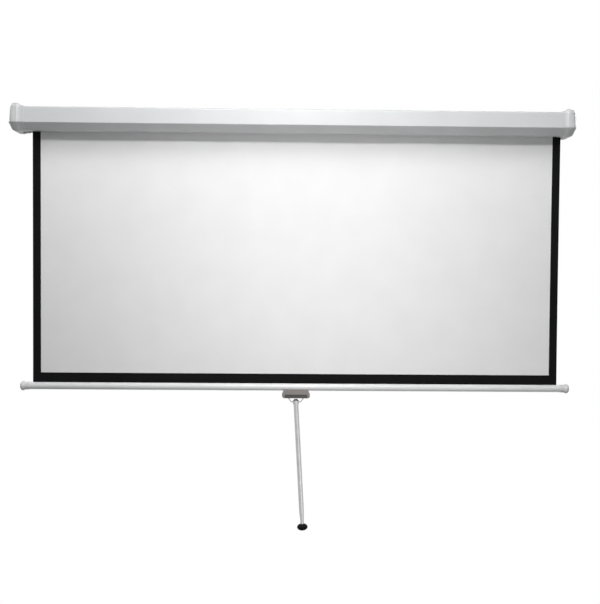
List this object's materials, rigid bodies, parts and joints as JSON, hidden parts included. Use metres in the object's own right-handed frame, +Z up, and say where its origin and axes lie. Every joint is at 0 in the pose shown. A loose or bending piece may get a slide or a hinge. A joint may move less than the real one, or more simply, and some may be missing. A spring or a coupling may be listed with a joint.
{
  "type": "pull-down projection screen",
  "caption": "Wall-hung pull-down projection screen: spring roller in a white case with flared end caps, black-bordered white sheet, round bottom bar and hooked chrome pull rod.",
  "frame": {"origin": "on the wall plane, half way between the two wall keyholes", "axes": "+X to the right seen from the room, +Y into the wall, +Z up"},
  "size_m": [1.6155, 0.0837, 1.2259],
  "materials": {
    "case_paint": "white satin powder coat",
    "cap_plastic": "moulded off-white, fine texture",
    "zinc_steel": "zinc plated",
    "screw_steel": "bright plated",
    "roller_steel": "galvanised",
    "screen_cloth": "matte white coated cloth with black side borders",
    "border_cloth": "black coated cloth",
    "bar_paint": "white gloss paint",
    "bar_cap_plastic": "moulded off-white",
    "saddle_plastic": "moulded grey",
    "block_plastic": "moulded dark taupe",
    "chrome": "satin chrome plate",
    "knob_rubber": "black moulded rubber",
    "nylon": "natural nylon",
    "spring_steel": "oiled spring steel",
    "plug_plastic": "moulded black"
  },
  "bodies": {
    "case": {"case_shell": "case_paint", "end_cap_left": "cap_plastic", "end_cap_right": "cap_plastic", "hanger_plate_left": "zinc_steel", "hanger_plate_right": "zinc_steel", "plate_screws": "screw_steel", "cap_screws": "screw_steel", "spring_spindle": "zinc_steel", "spindle_washer": "nylon", "ratchet_wheel": "zinc_steel", "spring_collar": "zinc_steel", "torsion_spring": "spring_steel", "idle_bush": "nylon", "screen_fabric": "screen_cloth"},
    "roller": {"roller_tube": "roller_steel", "fabric_wrap": "screen_cloth", "spring_end_plug": "plug_plastic", "idle_end_plug": "plug_plastic", "idle_gudgeon": "screw_steel", "idle_spacer": "nylon", "spring_carrier": "plug_plastic", "pawl_pins": "screw_steel"},
    "pawl_a": {"pawl_upper": "zinc_steel"},
    "pawl_b": {"pawl_lower": "zinc_steel"},
    "bar": {"bottom_bar": "bar_paint", "bar_cap_left": "bar_cap_plastic", "bar_cap_right": "bar_cap_plastic", "hem_band": "border_cloth", "hem_rod": "plug_plastic", "handle_saddle": "saddle_plastic", "handle_block": "block_plastic", "handle_screws": "screw_steel"},
    "bail": {"bail_wire": "chrome"},
    "rod": {"rod_ferrule": "chrome", "pull_rod": "chrome", "rod_tip": "chrome", "ball_knob": "knob_rubber"}
  },
  "joints": [
    {"name": "bar_slide", "type": "slide", "parent": "case", "child": "bar", "axis": [0, 0, 1], "range_m": [0, 0.7052], "deforming": ["screen_fabric"]},
    {"name": "roller_spin", "type": "hinge", "parent": "case", "child": "roller", "pos_m": [0, -0.043, -0.005], "axis": [1, 0, 0], "range_deg": [0, 1800], "deforming": ["torsion_spring"]},
    {"name": "pawl_upper_throw", "type": "hinge", "parent": "roller", "child": "pawl_a", "pos_m": [-0.7599, -0.034, 0.0085], "axis": [1, 0, 0], "range_deg": [0, 20]},
    {"name": "pawl_lower_throw", "type": "hinge", "parent": "roller", "child": "pawl_b", "pos_m": [-0.7599, -0.052, -0.0185], "axis": [1, 0, 0], "range_deg": [0, 20]},
    {"name": "bail_swing", "type": "hinge", "parent": "bar", "child": "bail", "pos_m": [0.012, -0.02055, -0.7935], "axis": [1, 0, 0], "range_deg": [-25, 25]},
    {"name": "rod_swing", "type": "hinge", "parent": "bail", "child": "rod", "pos_m": [0.012, -0.02055, -0.8095], "axis": [1, 0, 0], "range_deg": [-50, 50]}
  ],
  "couplings": [
    {"joint": "roller_spin", "follows": "bar_slide", "rad_per_m": 44.543}
  ]
}
